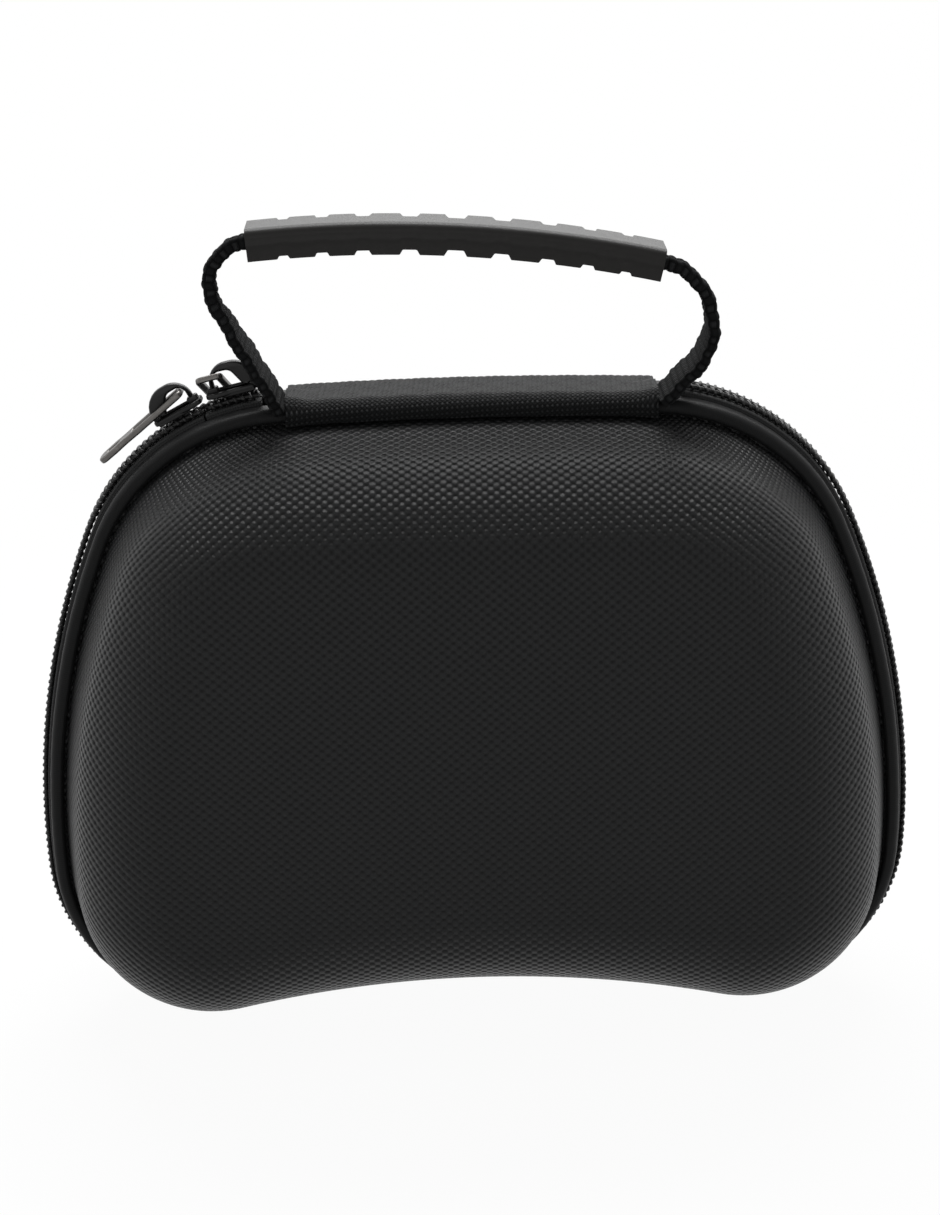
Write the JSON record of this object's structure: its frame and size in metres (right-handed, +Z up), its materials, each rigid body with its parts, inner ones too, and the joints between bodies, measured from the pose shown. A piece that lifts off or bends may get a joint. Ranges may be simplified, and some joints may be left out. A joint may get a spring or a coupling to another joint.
{
  "type": "game controller carrying case",
  "caption": "Zip-round hard-shell carrying case for a game controller, with a lobed outline, fabric top hinge, zip sliders and a webbing handle with a rubber grip.",
  "frame": {"origin": "centre of the bounding box's bottom face, on the surface that the case stands on", "axes": "+X along the width, +Y along the depth from front to back, +Z up towards the handle"},
  "size_m": [0.175, 0.07, 0.1644],
  "materials": {
    "woven_shell": "plain-weave nylon laminated on moulded foam",
    "binding": "smooth folded edge tape",
    "zip_tape": "woven zip tape",
    "zip_coil": "nylon coil",
    "hinge_weave": "heavy woven tape",
    "elastic": "ribbed elastic",
    "webbing": "ribbed webbing",
    "grip_rubber": "moulded rubber",
    "net": "knitted net",
    "slider_metal": "dark coated die-cast metal"
  },
  "bodies": {
    "rear_half": {"rear_shell": "woven_shell", "rear_binding": "binding", "rear_zip_tape": "zip_tape", "rear_zip_coil": "zip_coil", "rear_track_coil": "zip_coil", "held_zip_tape": "zip_tape", "held_zip_coil": "zip_coil", "hinge_strip": "hinge_weave", "retaining_strap": "elastic"},
    "front_half": {"front_shell": "woven_shell", "front_binding": "binding", "front_zip_tape": "zip_tape", "front_zip_coil": "zip_coil", "front_track_coil": "zip_coil", "handle_webbing": "webbing", "handle_grip": "grip_rubber", "mesh_pocket": "net", "pocket_hem": "elastic"},
    "right_runner": {"right_slider": "slider_metal"},
    "left_runner": {"left_slider": "slider_metal"},
    "left_tab": {"left_pull": "slider_metal"},
    "right_tab": {"right_pull": "slider_metal"}
  },
  "joints": [
    {"name": "lid", "type": "hinge", "parent": "rear_half", "child": "front_half", "pos_m": [0, 0, 0.132], "axis": [-1, 0, 0], "range_deg": [0, 105], "deforming": ["hinge_strip"]},
    {"name": "right_slider_travel", "type": "hinge", "parent": "rear_half", "child": "right_runner", "pos_m": [-0.0343, 0, 0.0875], "axis": [0, -1, 0], "range_deg": [0, 16]},
    {"name": "left_slider_travel", "type": "hinge", "parent": "right_runner", "child": "left_runner", "pos_m": [-0.0343, 0, 0.0875], "axis": [0, -1, 0], "range_deg": [0, 16]},
    {"name": "left_pull_swing", "type": "hinge", "parent": "left_runner", "child": "left_tab", "pos_m": [-0.05478, 0, 0.13087], "axis": [0, 1, 0], "range_deg": [0, 120]},
    {"name": "right_pull_swing", "type": "hinge", "parent": "right_runner", "child": "right_tab", "pos_m": [-0.04872, 0, 0.13296], "axis": [0.9735, 0, 0.2286], "range_deg": [0, 56]}
  ]
}
